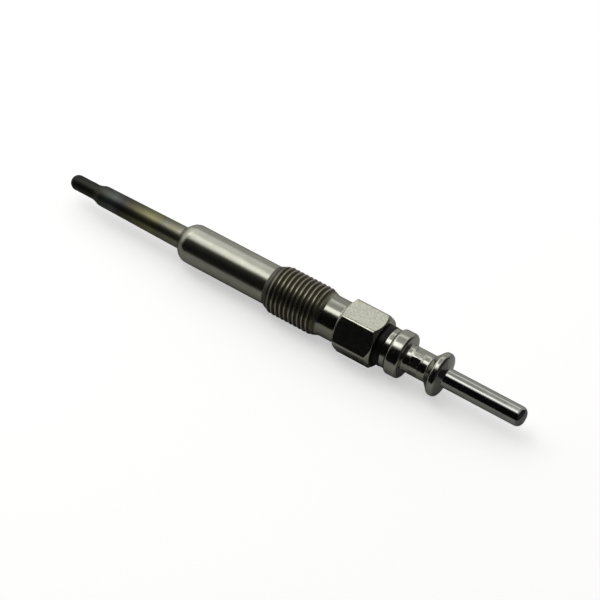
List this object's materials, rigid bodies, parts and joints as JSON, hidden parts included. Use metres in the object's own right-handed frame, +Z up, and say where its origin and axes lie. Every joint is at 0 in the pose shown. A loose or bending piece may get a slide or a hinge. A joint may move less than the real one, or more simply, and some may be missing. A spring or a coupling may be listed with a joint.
{
  "type": "diesel glow plug",
  "caption": "Metal sheathed glow plug for a diesel engine: stepped glow tube, shank with sealing cone, mounting thread, spanner hexagon, black insulating bush and push-on pin terminal.",
  "frame": {"origin": "on the plug's axis, at the middle of the full thread", "axes": "+X along the axis from the glow tip to the terminal pin, +Z up and square to the hexagon flat that faces down, +Y to the back"},
  "size_m": [0.105, 0.0112, 0.01],
  "materials": {
    "shell_plating": "satin nickel plating on turned steel",
    "tube_alloy": "heat-tinted nickel alloy",
    "heating_wire": "drawn resistance wire",
    "regulating_wire": "drawn nickel wire",
    "magnesia_fill": "compacted powder",
    "seal_rubber": "matt",
    "stud_steel": "drawn steel rod",
    "ring_rubber": "matt",
    "bush_plastic": "semi-gloss moulded",
    "terminal_plating": "bright nickel plating on turned steel"
  },
  "bodies": {
    "root": {"shell": "shell_plating", "glow_tube": "tube_alloy", "heating_coil": "heating_wire", "regulating_coil": "regulating_wire", "filling_powder": "magnesia_fill", "tube_seal": "seal_rubber", "terminal_stud": "stud_steel", "o_ring": "ring_rubber", "insulating_bush": "bush_plastic", "terminal": "terminal_plating"}
  },
  "joints": []
}
